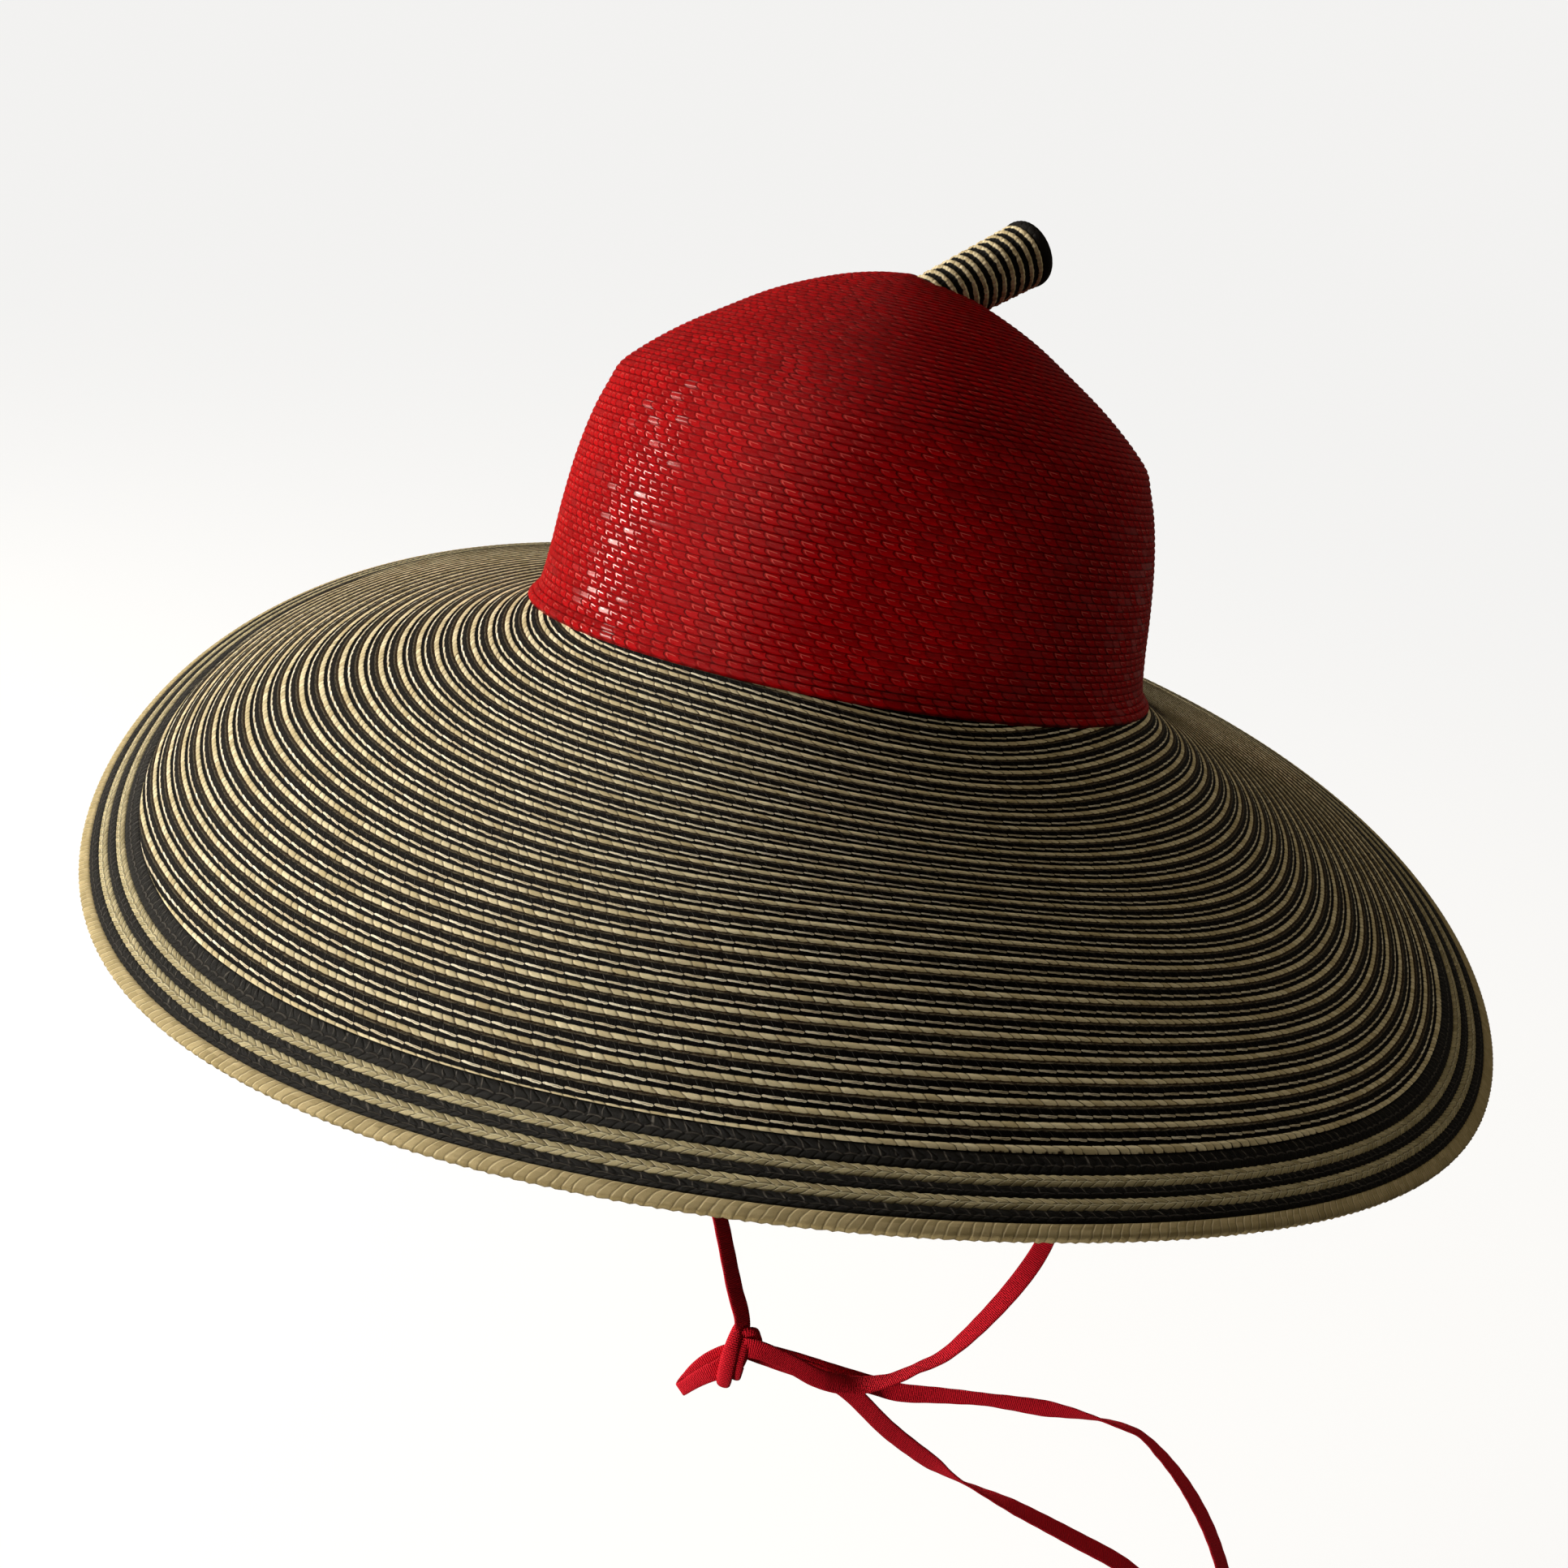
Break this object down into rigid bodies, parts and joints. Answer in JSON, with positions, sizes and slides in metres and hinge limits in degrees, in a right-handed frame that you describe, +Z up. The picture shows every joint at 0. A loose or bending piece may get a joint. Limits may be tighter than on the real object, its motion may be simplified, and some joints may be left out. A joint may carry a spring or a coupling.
{
  "type": "wide-brim straw hat",
  "caption": "Wide-brim straw hat with a lacquered red braid crown, a striped stem on its tip, a two-tone spiral braid brim and a knit chin tie.",
  "frame": {"origin": "middle of the head opening, where the crown meets the brim, on the line of the wearer's brow", "axes": "+Z up with the rim roughly level, -Y to the front of the hat, +X to the wearer's left"},
  "size_m": [0.4296, 0.4554, 0.4283],
  "materials": {
    "red_straw": "lacquered red straw braid",
    "two_tone_straw": "natural and black straw braid",
    "black_straw": "black straw braid",
    "natural_straw": "natural straw braid, satin",
    "red_knit": "matt ribbed knit"
  },
  "bodies": {
    "root": {"crown": "red_straw", "brim_field": "two_tone_straw", "black_band": "black_straw", "natural_row_inner": "natural_straw", "black_row_inner": "black_straw", "natural_row_outer": "natural_straw", "black_row_outer": "black_straw", "natural_rim_row": "natural_straw", "stem_winding": "two_tone_straw", "stem_end": "black_straw", "tie_knot": "red_knit", "tie_left": "red_knit", "tie_right": "red_knit", "tie_loop": "red_knit", "tie_tail_a": "red_knit", "tie_tail_b": "red_knit"}
  },
  "joints": []
}
